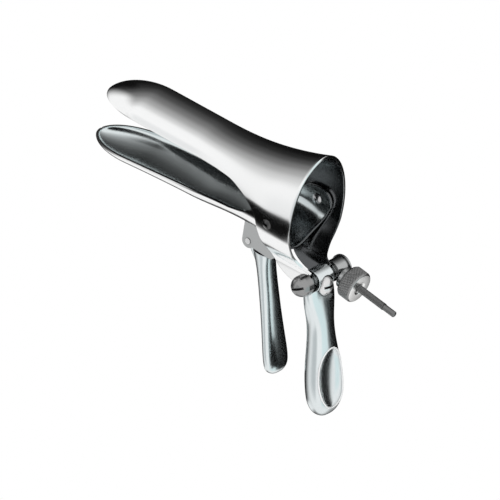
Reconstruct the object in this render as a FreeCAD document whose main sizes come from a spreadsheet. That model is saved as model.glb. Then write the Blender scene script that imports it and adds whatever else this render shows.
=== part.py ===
import FreeCAD, Part
import math
import os

# A bivalve speculum with a folding front lever, at its real size, in millimetres.
# +X points out of the viewing aperture towards the hand that holds it, -X along the blades to
# their tips, +Y to the side that carries the screw rod, and +Z up, away from the two handles.
# The origin is the middle of the hinge axis, which runs along Y through the two rivets.
# Everything is made as it stands in the photograph: the blades partly open, the nut on its post.

doc = FreeCAD.newDocument("bivalve_speculum")
sheet = doc.addObject("Spreadsheet::Sheet", "Sheet")

DIMENSIONS = [
    # the formed sheet of the two blades and the collar
    ("sheet_thickness", 1.2),
    ("upper_reach", 107.8),  # hinge axis to the tip of the upper blade
    ("lower_reach", 110.6),  # hinge axis to the tip of the lower blade
    ("blade_width", 30.0),
    ("tip_round", 25.0),  # length over which a tip rounds off
    ("upper_rim_height", 11.0),
    ("upper_depth", 9.6),
    ("lower_depth", 6.6),
    ("lower_rim_drop", 2.6),  # rim of the lower blade below the hinge axis, at the collar
    ("lower_rim_slope", 4.5),  # degrees that the rim of the lower blade falls towards its tip
    # the collar that frames the aperture
    ("collar_width", 37.8),
    ("collar_top", 33.2),
    ("collar_widest", 3.0),
    ("ring_lean", 2.0),  # degrees from upright of the aperture's rim
    ("ring_offset", 12.6),  # rim of the aperture behind the hinge axis
    ("flare_length", 48.0),  # length over which a blade widens into the collar
    ("blade_root", 33.0),  # where the straight edge of the upper blade ends
    # the hinge: two rivets through the collar and the ears of the lower blade
    ("rivet_radius", 1.6),
    ("rivet_head_radius", 2.9),
    ("rivet_head_height", 1.4),
    ("rivet_sink", 0.7),  # how far a rivet's flat seat is sunk into the round of the collar
    ("rivet_seat", "=collar_width / 2 - rivet_sink"),  # from the middle plane
    ("ear_clearance", 0.7),  # between an ear and the collar outside it
    ("ear_half_width", "=collar_width / 2 - sheet_thickness - ear_clearance"),
    ("ear_seat", "=ear_half_width - sheet_thickness - 0.1"),  # inner face of an ear at its rivet
    ("ear_height", 5.8),
    ("ear_back", 7.7),
    ("throat_depth", 17.5),
    # the cross bolt, where the collar's two arms, the rear handle and the post meet
    ("bolt_back", 18.4),
    ("bolt_drop", 25.4),
    ("lug_radius", 4.6),
    ("arm_outer", 6.8),  # outer face of an arm's sheet, from the middle plane
    ("lug_inner", "=arm_outer - sheet_thickness - 0.4"),
    ("lug_outer", "=arm_outer + sheet_thickness"),
    ("shank_radius", 2.3),
    ("screw_head_radius", 4.8),
    ("screw_head_rim", 3.4),
    ("screw_dome", 4.4),
    ("screw_slot_turn", 26.0),  # degrees from level of the slot
    ("slot_width", 1.1),
    ("slot_depth", 1.8),
    ("spigot_radius", 1.2),
    ("spigot_length", 7.0),
    # the swivel post
    ("post_radius", 4.7),
    ("post_length", 8.2),
    ("post_flange_radius", 5.4),
    ("post_flange_length", 1.2),
    ("post_neck_radius", 3.6),
    ("post_neck_length", 0.8),
    # the screw rod and its nut
    ("rod_side", 11.2),  # rod axis from the middle plane
    ("rod_radius", 1.65),
    ("rod_tail", 36.0),  # cross bolt to the free end of the rod
    ("rod_chamfer", 0.4),
    ("rod_end_radius", 1.4),  # the plain point beyond the thread, at the thread's root
    ("rod_end_length", 6.0),
    ("rod_neck_radius", 1.15),  # the thinner neck between the thread and the eye
    ("rod_neck_length", 4.2),
    ("rod_pin_forward", 10.0),
    ("rod_pin_drop", 21.0),
    ("rod_pin_radius", 1.2),
    ("rod_eye_radius", 3.0),
    ("rod_eye_play", 0.4),  # room round the pin that the eye needs as the blades open
    ("rod_eye_thickness", 2.4),
    ("rod_pin_head", 2.6),
    ("rod_pin_head_height", 1.2),
    ("collar_ring_radius", 5.0),
    ("collar_ring_thickness", 2.6),
    ("nut_radius", 7.6),
    ("nut_thickness", 6.9),
    ("nut_chamfer", 0.8),
    ("nut_flutes", 40),
    ("flute_radius", 0.4),
    ("running_gap", 0.12),  # between faces that turn or slide on each other
    ("running_clearance", 0.05),  # radial, between a pin and its hole
    # the rear handle
    ("handle_lean", 14.2),
    ("knuckle_radius", 5.2),
    ("knuckle_half_width", 4.95),
    ("spoon_down", 46.5),
    ("spoon_length", 29.0),
    ("spoon_width", 18.0),
    ("spoon_depth", 4.2),
    ("spoon_face", 5.9),  # rear face of the handle at the thumb recess, from its axis
    ("lock_head_radius", 4.5),
    ("lock_head_rim", 1.0),
    ("lock_dome", 2.6),
    ("lock_seat", 3.5),
    ("lock_drop", 2.6),
    # the bracket and the folding front lever
    ("pin_forward", 18.7),
    ("pin_drop", 23.4),
    ("pin_radius", 1.4),
    ("eye_radius", 3.3),
    ("bracket_half_width", 4.3),
    ("bracket_back", 3.2),  # rear face of the bracket, in front of the hinge axis
    ("bracket_bottom", 26.4),
    ("slot_back", 14.2),  # end of the bracket's slot, in front of the hinge axis
    ("tongue_half_width", 1.9),
    ("side_gap", 0.15),
    ("lever_top_forward", 12.0),
    ("lever_end_back", 4.8),
    ("lever_end_drop", 81.0),
]
for row, (alias, value) in enumerate(DIMENSIONS, start=1):
    sheet.set("A%d" % row, alias)
    sheet.set("B%d" % row, str(value))
    sheet.setAlias("B%d" % row, alias)
doc.recompute()

parts = []  # every finished piece, in the order that it is made


def size(alias):
    """The value of one driving dimension."""
    return float(getattr(sheet, alias))


def vec(x, y, z):
    return FreeCAD.Vector(x, y, z)


def bind(obj, **formulas):
    """Ties properties to the sheet. A bare alias or a formula of aliases is written as in the sheet."""
    for name, formula in formulas.items():
        obj.setExpression(name.replace("__", "."), formula)
    return obj


def add(kind, name, **formulas):
    return bind(doc.addObject(kind, name), **formulas)


def boolean(kind, name, base, tool):
    obj = doc.addObject(kind, name)
    obj.Base = base
    obj.Tool = tool
    return obj


def fuse(name, *shapes):
    obj = doc.addObject("Part::MultiFuse", name)
    obj.Shapes = list(shapes)
    return obj


def finish(obj, label):
    """Marks obj as one real piece. Its label names its file."""
    doc.recompute()
    obj.Label = label
    parts.append(obj)
    return obj


def place(obj, base, axis=(0, 0, 1), angle=0.0):
    obj.Placement = FreeCAD.Placement(vec(*base), FreeCAD.Rotation(vec(*axis), angle))
    return obj


def along_y(name, radius, start, length, x="0", z="0"):
    """A cylinder along +Y from start. Every argument is a formula."""
    obj = add("Part::Cylinder", name, Radius=radius, Height=length)
    obj.Placement = FreeCAD.Placement(vec(0, 0, 0), FreeCAD.Rotation(vec(1, 0, 0), -90))
    bind(obj, Placement__Base__x=x, Placement__Base__y=start, Placement__Base__z=z)
    return obj


half_blade = size("blade_width") / 2
half_collar = size("collar_width") / 2
metal = size("sheet_thickness")
gap = size("running_gap")
bolt = (size("bolt_back"), -size("bolt_drop"))
lever_pin = (-size("pin_forward"), -size("pin_drop"))
rod_pin = (-size("rod_pin_forward"), -size("rod_pin_drop"))
rod_slope = math.degrees(math.atan2(rod_pin[1] - bolt[1], bolt[0] - rod_pin[0]))
rod_length = math.hypot(rod_pin[1] - bolt[1], bolt[0] - rod_pin[0])

# How the collar's wall comes in from its widest point to the arms: share of the drop, share of
# the narrowing.
ARM_SHARES = [(0.25, 0.06), (0.40, 0.19), (0.55, 0.39), (0.69, 0.66), (0.80, 0.88), (0.87, 0.97), (0.93, 1.0),
              (1.0, 1.0), (1.1, 1.0), (1.3, 1.0)]
SECTION_STEP = 15  # degrees between the points of a section's arch
TIP_TURNS = (5, 14, 26, 40, 56, 72, 90)


def smooth(share):
    share = min(1.0, max(0.0, share))
    return share * share * (3 - 2 * share)


def mix(a, b, share):
    return a + (b - a) * share


def mirrored_wire(x, right):
    """A closed section at x. The outline is given from the middle plane outwards, on +Y."""
    left = [vec(p.x, -p.y, p.z) for p in reversed(right[1:])]
    points = left + right
    curve = Part.BSplineCurve()
    curve.interpolate(points)
    return Part.Wire([curve.toShape(), Part.LineSegment(points[-1], points[0]).toShape()])


def widening(x):
    return smooth((x + size("flare_length")) / size("flare_length"))


def upper_section(x, tip_share, inset):
    """The upper blade's or the collar's section: an arch over two walls."""
    flare = widening(x)
    rise = max(0.0, (x + size("flare_length")) / (size("flare_length") + size("ring_offset")))
    crown_root = size("upper_rim_height") + (size("upper_depth") - inset) * tip_share ** 1.4
    crown = mix(crown_root, size("collar_top") - inset, rise ** 1.85)
    half = mix((half_blade - inset) * tip_share, half_collar - inset, flare)
    widest = mix(size("upper_rim_height"), size("collar_widest"), flare)
    arm = mix(half, size("arm_outer") - inset, flare)
    points = []
    for turn in range(0, 91, SECTION_STEP):
        angle = math.radians(turn)
        points.append(vec(x, half * math.sin(angle), widest + (crown - widest) * math.cos(angle)))
    for down, narrow in ARM_SHARES:
        points.append(vec(x, mix(half, arm, narrow), mix(widest, bolt[1], down)))
    return mirrored_wire(x, points)


def lower_rim(x):
    """Height of the lower blade's free edge."""
    return -size("lower_rim_drop") + x * math.tan(math.radians(size("lower_rim_slope")))


def lower_section(x, tip_share, inset):
    """The lower blade's section: a trough whose walls run straight up past the free edge."""
    flare = widening(x)
    rim = mix(lower_rim(x), 0.0, flare)
    half = mix((half_blade - inset) * tip_share, size("ear_half_width") - inset, flare)
    deepening = min(1.0, max(0.0, (x + size("lower_reach")) / (size("lower_reach") + 3))) ** 3.2
    bottom = rim - mix((size("lower_depth") - inset) * tip_share, size("throat_depth") - inset, deepening)
    points = []
    for turn in range(0, 91, SECTION_STEP):
        angle = math.radians(turn)
        across = half * math.sin(angle) ** mix(1.0, 1.35, flare)
        points.append(vec(x, across, mix(rim, bottom, math.cos(angle))))
    for up in (0.5, 1.0):
        points.append(vec(x, half, rim + (size("ear_height") + 3 + inset) * up))
    return mirrored_wire(x, points)


def stations(reach, end, inset):
    """Where the sections stand, and how much of the full width each has: the tip is round."""
    found = []
    for turn in TIP_TURNS:
        angle = math.radians(turn)
        x = -reach + inset + (size("tip_round") - inset) * (1 - math.cos(angle))
        found.append((x, math.sin(angle)))
    start, steps = found[-1][0], 9
    for step in range(1, steps + 1):
        found.append((mix(start, end, step / steps), 1.0))
    return found


def formed(name, section, reach, end):
    """The formed sheet before it is trimmed: the outer loft less the inner one."""
    lofts = []
    for side, inset, beyond in (("outer", 0.0, 0.0), ("inner", metal, 2.0)):
        wires = [section(x, share, inset) for x, share in stations(reach, end + beyond, inset)]
        loft = doc.addObject("Part::Feature", name + "_" + side)
        loft.Shape = Part.makeLoft(wires, True, False)
        lofts.append(loft)
    return boolean("Part::Cut", name + "_sheet", *lofts)


def spline(points):
    curve = Part.BSplineCurve()
    curve.interpolate([vec(x, 0, z) for x, z in points])
    return curve.toShape()


def line(a, b):
    return Part.LineSegment(vec(a[0], 0, a[1]), vec(b[0], 0, b[1])).toShape()


def arc(a, b, c):
    return Part.Arc(vec(a[0], 0, a[1]), vec(b[0], 0, b[1]), vec(c[0], 0, c[1])).toShape()


def slab(name, edges, inner, outer):
    """The outline seen from the side, between two distances from the middle plane."""
    solid = doc.addObject("Part::Feature", name)
    face = Part.Face(Part.Wire(edges))
    face.translate(vec(0, inner, 0))
    solid.Shape = face.extrude(vec(0, outer - inner, 0))
    return solid


def polygon(points):
    return [line(a, b) for a, b in zip(points, points[1:] + points[:1])]


def on_circle(centre, radius, degrees):
    angle = math.radians(degrees)
    return (centre[0] + radius * math.cos(angle), centre[1] + radius * math.sin(angle))


def turned(name, points):
    """A solid of revolution round its own Z axis, from (radius, height) points."""
    outline = Part.Face(Part.Wire(polygon([(r, z) for r, z in points])))
    solid = doc.addObject("Part::Feature", name)
    solid.Shape = outline.revolve(vec(0, 0, 0), vec(0, 0, 1), 360)
    return solid


def dome(radius, base, height, steps=8):
    """Points of a domed head from its rim to its top, as (radius, height)."""
    ball = (radius * radius + height * height) / (2 * height)
    middle = base + height - ball
    first = math.asin(min(1.0, radius / ball))
    if height > radius:
        first = math.pi - first
    found = []
    for step in range(steps + 1):
        angle = first * (1 - step / steps)
        found.append((ball * math.sin(angle), middle + ball * math.cos(angle)))
    found[-1] = (0.0, base + height)
    return found


def both_sides(name, radius, inner, outer):
    """Two cylinders on the hinge axis, one on each side of the middle plane."""
    far = along_y(name + "_far", radius, inner, "(%s) - (%s)" % (outer, inner))
    near = along_y(name + "_near", radius, "-1 * (%s)" % outer, "(%s) - (%s)" % (outer, inner))
    return fuse(name, far, near)


def ref(alias):
    return "Sheet." + alias


BOLT_AT = (ref("bolt_back"), "-1 * " + ref("bolt_drop"))
BOLT_HOLE = "%s + %s" % (ref("shank_radius"), ref("running_clearance"))
LEVER_PIN_AT = ("-1 * " + ref("pin_forward"), "-1 * " + ref("pin_drop"))
ROD_PIN_AT = ("-1 * " + ref("rod_pin_forward"), "-1 * " + ref("rod_pin_drop"))


def make_upper_blade():
    """The upper blade, the collar and its two arms: one formed sheet with an eye on each arm."""
    sheet_metal = formed("upper", upper_section, size("upper_reach"), size("bolt_back") + 9)
    rim = size("upper_rim_height")
    lean = math.tan(math.radians(size("ring_lean")))
    high = size("collar_top") + 6
    ring_high = (size("ring_offset") - high * lean, high)
    ring_low = (size("ring_offset") + 11 * lean, -11.0)
    root = (-size("blade_root"), rim)
    lug_front = on_circle(bolt, size("lug_radius"), 240)
    lug_low = on_circle(bolt, size("lug_radius"), 340)
    lug_back = on_circle(bolt, size("lug_radius"), 80)
    front = [root, (-24.5, 10.4), (-17.3, 8.0), (-11.4, 4.7), (-7.6, 0.6), (-5.4, -6.0), (-4.3, -13.0)]
    front += [(-2.7, -19.8), (0.8, -24.4), (6.8, -27.6), lug_front]
    back = [lug_back, (15.4, -19.0), (13.4, -15.0), ring_low]
    tip = (-size("upper_reach") - 5, rim)
    edges = [line(tip, root), spline(front), arc(lug_front, lug_low, lug_back), spline(back)]
    edges += [line(ring_low, ring_high), line(ring_high, (tip[0], high)), line((tip[0], high), tip)]
    outline = slab("upper_outline", edges, -half_collar - 5, half_collar + 5)
    trimmed = boolean("Part::Common", "upper_trimmed", sheet_metal, outline)
    eye_length = "%s - %s" % (ref("lug_outer"), ref("lug_inner"))
    eyes = []
    for side, start in (("far", ref("lug_inner")), ("near", "-1 * " + ref("lug_outer"))):
        eyes.append(along_y("arm_eye_" + side, ref("lug_radius"), start, eye_length, *BOLT_AT))
    body = fuse("upper_with_eyes", trimmed, *eyes)
    bolt_hole = along_y("arm_bolt_hole", BOLT_HOLE, "-15", "30", *BOLT_AT)
    rivet_hole = along_y("upper_rivet_hole", ref("rivet_radius"), "-30", "60")
    seats = both_sides("upper_rivet_seats", ref("rivet_head_radius") + " + 0.1", ref("rivet_seat"), "30")
    between = along_y("arm_gap", ref("lug_radius") + " + 0.3", "-1 * " + ref("lug_inner"),
                      "2 * " + ref("lug_inner"), *BOLT_AT)
    holes = fuse("upper_holes", bolt_hole, rivet_hole, seats, between)
    return finish(boolean("Part::Cut", "upper_blade_final", body, holes), "upper_blade")


def make_lower_blade():
    """The lower blade with the two ears that turn on the rivets."""
    sheet_metal = formed("lower", lower_section, size("lower_reach"), size("ear_back") + 4)
    tip_x = -size("lower_reach") - 5
    foot = (-24.0, lower_rim(-24.0))
    ear_top = (-1.0, size("ear_height"))
    ear_high = (5.6, 4.3)
    ear_back = (size("ear_back"), -0.8)
    low = -size("throat_depth") - 8
    rise = [foot, (-16.5, -2.4), (-10.5, 1.6), (-6.0, 4.7), ear_top]
    rear = [ear_back, (6.2, -7.0), (4.4, -12.5), (4.0, low)]
    edges = [line((tip_x, lower_rim(tip_x)), foot), spline(rise), arc(ear_top, ear_high, ear_back)]
    edges += [spline(rear), line(rear[-1], (tip_x, low)), line((tip_x, low), (tip_x, lower_rim(tip_x)))]
    outline = slab("lower_outline", edges, -half_collar - 5, half_collar + 5)
    trimmed = boolean("Part::Common", "lower_trimmed", sheet_metal, outline)
    hole = along_y("ear_holes", "%s + %s" % (ref("rivet_radius"), ref("running_clearance")), "-30", "60")
    seats = both_sides("ear_seats", ref("rivet_head_radius") + " + 0.1", "10", ref("ear_seat"))
    holes = fuse("lower_holes", hole, seats)
    return finish(boolean("Part::Cut", "lower_blade_final", trimmed, holes), "lower_blade")


def make_rivet(label, turn):
    """A rivet with a domed head on each side of the two sheets."""
    inner = size("ear_seat") - gap / 2
    outer = size("rivet_seat")
    radius, height = size("rivet_head_radius"), size("rivet_head_height")
    shank = size("rivet_radius")
    outer_head = dome(radius, outer, height)
    inner_head = [(r, 2 * inner - z) for r, z in reversed(dome(radius - 0.3, inner, height))]
    rivet = turned(label + "_solid", inner_head + [(shank, inner), (shank, outer)] + outer_head)
    place(rivet, (0, 0, 0), (1, 0, 0), turn)
    return finish(rivet, label)


def slotted(name, head, slot_at, slot_turn):
    """Cuts a driver's slot across a domed head that points up its own Z axis."""
    slot = add("Part::Box", name + "_slot", Length="3 * " + ref("screw_head_radius"), Width=ref("slot_width"),
               Height=ref("slot_depth") + " + 3")
    half_length, half_width = 1.5 * size("screw_head_radius"), size("slot_width") / 2
    turn = FreeCAD.Rotation(vec(0, 0, 1), slot_turn)
    corner = turn.multVec(vec(-half_length, -half_width, 0))
    slot.Placement = FreeCAD.Placement(vec(0, 0, slot_at) + corner, turn)
    return boolean("Part::Cut", name, head, slot)


def make_swivel_post():
    """The post that the rod runs through, with the shank that makes it the cross bolt."""
    start = size("lug_outer") + gap
    neck = start + size("post_neck_length")
    end = neck + size("post_length")
    flange = end - size("post_flange_length")
    shank, post = size("shank_radius"), size("post_radius")
    near_end = -size("lug_outer") - gap
    outline = [(0, near_end), (shank, near_end), (shank, start), (size("post_neck_radius"), start)]
    outline += [(size("post_neck_radius"), neck), (post, neck), (post, flange)]
    outline += [(size("post_flange_radius"), flange), (size("post_flange_radius"), end - 0.4)]
    outline += [(size("post_flange_radius") - 0.4, end), (0, end)]
    solid = turned("post_solid", outline)
    place(solid, (bolt[0], 0, bolt[1]), (1, 0, 0), -90)
    spigot = along_y("post_thread_hole", ref("spigot_radius"), "-1 * %s - 1" % ref("lug_outer"),
                     ref("spigot_length") + " + 1.2", *BOLT_AT)
    rod_hole = add("Part::Cylinder", "post_rod_hole", Height="20",
                   Radius="%s + %s" % (ref("rod_radius"), ref("running_clearance")))
    rod_hole.Placement = rod_frame(rod_length - 10)
    holes = fuse("post_holes", spigot, rod_hole)
    return finish(boolean("Part::Cut", "post_final", solid, holes), "swivel_post")


def rod_frame(distance):
    """The place at this distance along the rod from its pin, with Z along the rod."""
    axis = FreeCAD.Rotation(vec(0, 1, 0), 90 + rod_slope)
    start = vec(rod_pin[0], size("rod_side"), rod_pin[1])
    return FreeCAD.Placement(start + axis.multVec(vec(0, 0, distance)), axis)


def make_retaining_screw():
    """The slotted screw that closes the near end of the cross bolt."""
    rim, radius = size("screw_head_rim"), size("screw_head_radius")
    thread = -size("spigot_length")
    spigot = size("spigot_radius")
    outline = [(0, thread), (spigot, thread), (spigot, 0), (radius - 0.4, 0), (radius, 0.4)]
    outline += dome(radius, rim, size("screw_dome"))
    head = turned("retaining_solid", outline)
    top = rim + size("screw_dome") - size("slot_depth")
    screw = slotted("retaining_slotted", head, top, size("screw_slot_turn"))
    place(screw, (bolt[0], -size("lug_outer") - gap, bolt[1]), (1, 0, 0), 90)
    return finish(screw, "post_retaining_screw")


def rounded(width, thickness, z, x=0.0, power=2.6):
    """A closed section with full corners, flat in its own XY plane at height z."""
    points = []
    for turn in range(0, 360, 15):
        angle = math.radians(turn)
        c, s = math.cos(angle), math.sin(angle)
        px = math.copysign(abs(c) ** (2 / power), c) * thickness / 2
        py = math.copysign(abs(s) ** (2 / power), s) * width / 2
        points.append(vec(x + px, py, z))
    curve = Part.BSplineCurve()
    curve.interpolate(points, PeriodicFlag=True)
    return Part.Wire([curve.toShape()])


# The rear handle down its own axis: distance below the bolt, width, thickness.
HANDLE_SECTIONS = [(3.6, 17.4, 6.8), (7.5, 17.6, 7.6), (12, 16.4, 8.6), (16, 14.6, 9.2), (21, 13.0, 9.8),
                   (28, 13.6, 10.4), (36, 16.2, 11.4), (45, 18.7, 12.2), (52.5, 19.2, 12.0), (58, 17.6, 10.8),
                   (61.0, 14.8, 8.6), (63.2, 10.4, 5.8), (64.2, 5.0, 2.6)]


def make_rear_handle():
    """The rear handle: a knuckle between the arms, and a grip with a thumb recess."""
    grip = doc.addObject("Part::Feature", "handle_grip")
    wires = [rounded(width, thickness, -down) for down, width, thickness in HANDLE_SECTIONS]
    grip.Shape = Part.makeLoft(wires, True, False)
    knuckle = along_y("handle_knuckle", ref("knuckle_radius"), "-1 * " + ref("knuckle_half_width"),
                      "2 * " + ref("knuckle_half_width"))
    body = fuse("handle_body", grip, knuckle)
    hole = along_y("handle_bolt_hole", BOLT_HOLE, "-10", "20")
    spoon = add("Part::Ellipsoid", "handle_spoon", Radius1=ref("spoon_depth"),
                Radius2=ref("spoon_length") + " / 2", Radius3=ref("spoon_width") + " / 2")
    place(spoon, (size("spoon_face"), 0, -size("spoon_down")), (0, 1, 0), 90)
    seat = add("Part::Cylinder", "lock_seat", Radius=ref("lock_head_radius") + " + 0.1", Height="6")
    seat.Placement = lock_frame()
    thread = add("Part::Cylinder", "lock_thread_hole", Radius="1", Height="0.6")
    place(thread, (size("lock_seat") - 0.5, 0, -size("lock_drop")), (0, 1, 0), 90)
    room = "%s + 2 * %s" % (ref("lug_radius"), ref("running_gap"))
    far_room = along_y("handle_far_room", room, ref("lug_inner") + " - " + ref("running_gap"), "10")
    near_start = "-10 - %s + %s" % (ref("lug_inner"), ref("running_gap"))
    near_room = along_y("handle_near_room", room, near_start, "10")
    cuts = fuse("handle_cuts", hole, spoon, seat, thread, far_room, near_room)
    handle = boolean("Part::Cut", "handle_shaped", body, cuts)
    handle.Placement = handle_frame()
    inner = size("lug_inner") - gap
    arm = [(-5, -15), (-5, -26), (6.8, -28.4), (12, -30.2), (16.3, -30.3), bolt, (bolt[0], -15)]
    far_arm = slab("handle_arm_far", polygon(arm), inner, 15)
    near_arm = slab("handle_arm_near", polygon(arm), -15, -inner)
    rooms = fuse("handle_arm_rooms", far_arm, near_arm)
    return finish(boolean("Part::Cut", "handle_final", handle, rooms), "rear_handle")


def handle_frame():
    """The rear handle's own frame: the bolt at its origin and the grip down its Z axis."""
    return FreeCAD.Placement(vec(bolt[0], 0, bolt[1]), FreeCAD.Rotation(vec(0, 1, 0), -size("handle_lean")))


def lock_frame():
    """The lock screw's seat on the rear face of the knuckle, with Z out of the handle."""
    seat = vec(size("lock_seat"), 0, -size("lock_drop"))
    return FreeCAD.Placement(seat, FreeCAD.Rotation(vec(0, 1, 0), 90))


def make_lock_screw():
    """The slotted screw on the knuckle that holds the rear handle firm on the arms."""
    rim, radius = size("lock_head_rim"), size("lock_head_radius")
    outline = [(0, -0.5), (1.0, -0.5), (1.0, 0), (radius, 0)] + dome(radius, rim, size("lock_dome"))
    head = turned("lock_solid", outline)
    top = rim + size("lock_dome") - 0.6 * size("slot_depth")
    screw = slotted("lock_slotted", head, top, 90)
    screw.Placement = handle_frame().multiply(lock_frame())
    return finish(screw, "handle_lock_screw")


def make_bracket():
    """The bracket brazed under the lower blade: a fork for the lever and a boss for the rod."""
    front = on_circle(lever_pin, size("eye_radius"), 180)
    low_front = on_circle(lever_pin, size("eye_radius"), 235)
    low_back = on_circle(lever_pin, size("eye_radius"), 322)
    back, bottom = -size("bracket_back"), -size("bracket_bottom")
    top = -10.0
    edges = [arc(front, low_front, low_back), line(low_back, (back - 2.0, bottom))]
    edges += [line((back - 2.0, bottom), (back, bottom + 2.0)), line((back, bottom + 2.0), (back, top))]
    edges += [line((back, top), (front[0], top)), line((front[0], top), front)]
    body = slab("bracket_body", edges, -size("bracket_half_width"), size("bracket_half_width"))
    boss_length = "%s - %s / 2 - %s - %s" % (ref("rod_side"), ref("rod_eye_thickness"), ref("running_gap"),
                                           ref("bracket_half_width"))
    boss = along_y("bracket_boss", ref("rod_eye_radius"), ref("bracket_half_width"), boss_length,
                   *ROD_PIN_AT)
    solid = fuse("bracket_solid", body, boss)
    slot_half = size("tongue_half_width") + size("side_gap")
    roof = lever_pin[1] + size("eye_radius") + 0.3
    slot_end = -size("slot_back")
    mouth = front[0] - 1
    slot_edges = [(mouth, bottom - 3), (slot_end, bottom - 3), (slot_end, roof), (mouth, roof)]
    slot = slab("bracket_slot", polygon(slot_edges), -slot_half, slot_half)
    pin_hole = along_y("bracket_pin_hole", ref("pin_radius"), "-10", "20", *LEVER_PIN_AT)
    rod_pin_hole = along_y("bracket_rod_pin_hole", ref("rod_pin_radius"), ref("bracket_half_width") + " - 3",
                           "15", *ROD_PIN_AT)
    cuts = fuse("bracket_cuts", slot, pin_hole, rod_pin_hole, doc.getObject("lower_outer"))
    return finish(boolean("Part::Cut", "bracket_final", solid, cuts), "lever_bracket")


def make_lever_pin():
    pin = along_y("lever_pin_solid", ref("pin_radius"), "-1 * %s - 0.3" % ref("bracket_half_width"),
                  "2 * %s + 0.6" % ref("bracket_half_width"), *LEVER_PIN_AT)
    return finish(pin, "lever_hinge_pin")


# The front lever down its own axis: share of the length, width, thickness.
LEVER_SECTIONS = [(-0.06, 9.4, 9.4), (0.02, 9.6, 8.4), (0.10, 9.8, 6.8), (0.30, 10.4, 5.8),
                  (0.55, 12.0, 5.3), (0.78, 14.2, 5.2), (0.90, 14.6, 5.2), (0.955, 13.0, 4.8),
                  (0.985, 9.6, 3.8), (1.0, 4.8, 2.0)]


def make_front_lever():
    """The folding front lever: a flat top that stops on the bracket, and a tongue on the pin."""
    top = (-size("lever_top_forward"), -size("bracket_bottom"))
    end = (size("lever_end_back"), -size("lever_end_drop"))
    length = math.hypot(end[0] - top[0], end[1] - top[1])
    lean = math.degrees(math.atan2(end[0] - top[0], top[1] - end[1]))
    blank = doc.addObject("Part::Feature", "lever_blank")
    wires = [rounded(width, thickness, -share * length) for share, width, thickness in LEVER_SECTIONS]
    blank.Shape = Part.makeLoft(wires, True, False)
    place(blank, (top[0], 0, top[1]), (0, 1, 0), -lean)
    flat = top[1] - gap
    above = slab("lever_above", polygon([(-40, flat), (10, flat), (10, 0), (-40, 0)]), -10, 10)
    swing = along_y("lever_swing", ref("eye_radius") + " + 0.3", "-10", "20", *LEVER_PIN_AT)
    grip = boolean("Part::Cut", "lever_grip", blank, fuse("lever_clearances", above, swing))
    eye = along_y("lever_eye", ref("eye_radius"), "-1 * " + ref("tongue_half_width"),
                  "2 * " + ref("tongue_half_width"), *LEVER_PIN_AT)
    inside = 0.6 * size("eye_radius")
    web_back = lever_pin[0] + size("eye_radius") + 0.2
    neck = [(lever_pin[0], lever_pin[1] + inside), (web_back, lever_pin[1] + inside), (web_back, flat)]
    neck += [(top[0], flat), (top[0], top[1] - 9.0), (lever_pin[0] - inside, lever_pin[1] - inside)]
    web = slab("lever_web", polygon(neck), -size("tongue_half_width"), size("tongue_half_width"))
    body = fuse("lever_body", grip, eye, web)
    hole = along_y("lever_pin_hole", "%s + %s" % (ref("pin_radius"), ref("running_clearance")), "-10", "20",
                   *LEVER_PIN_AT)
    return finish(boolean("Part::Cut", "lever_final", body, hole), "front_lever")


def make_rod():
    """The screw rod, from the eye on the bracket's boss to its free end behind the nut."""
    total = rod_length + size("rod_tail")
    radius, chamfer = size("rod_radius"), size("rod_chamfer")
    neck, end = size("rod_neck_radius"), size("rod_end_radius")
    shoulder = total - chamfer - size("rod_end_length")
    outline = [(0, 1.0), (neck, 1.0), (neck, size("rod_neck_length")), (radius, size("rod_neck_length"))]
    outline += [(radius, shoulder), (end, shoulder), (end, total - chamfer)]
    outline += [(end - chamfer, total), (0, total)]
    bar = turned("rod_bar", outline)
    bar.Placement = rod_frame(0)
    eye_start = "%s - %s / 2" % (ref("rod_side"), ref("rod_eye_thickness"))
    eye = along_y("rod_eye", ref("rod_eye_radius"), eye_start, ref("rod_eye_thickness"), *ROD_PIN_AT)
    hole = along_y("rod_eye_hole", "%s + %s" % (ref("rod_pin_radius"), ref("rod_eye_play")), "0", "30",
                   *ROD_PIN_AT)
    return finish(boolean("Part::Cut", "rod_final", fuse("rod_body", bar, eye), hole), "threaded_rod")


def make_rod_pin():
    """The shouldered screw that the rod's eye turns on."""
    inner = size("bracket_half_width") - 3
    seat = size("rod_side") + size("rod_eye_thickness") / 2 + gap
    radius, head = size("rod_pin_radius"), size("rod_pin_head")
    outline = [(0, inner), (radius, inner), (radius, seat), (head, seat)]
    outline += dome(head, seat + 0.3, size("rod_pin_head_height"))
    screw = turned("rod_pin_solid", outline)
    place(screw, (rod_pin[0], 0, rod_pin[1]), (1, 0, 0), -90)
    return finish(screw, "rod_pivot_screw")


def ring(name, label, radius, start, thickness, chamfer):
    """A ring on the rod, as a solid of revolution with its far face at the start."""
    hole = size("rod_radius") + size("running_clearance")
    outline = [(hole, 0), (radius - chamfer, 0), (radius, chamfer), (radius, thickness - chamfer)]
    outline += [(radius - chamfer, thickness), (hole, thickness)]
    solid = turned(name, outline)
    if label:
        solid.Placement = rod_frame(start)
        return finish(solid, label)
    return solid


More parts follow.
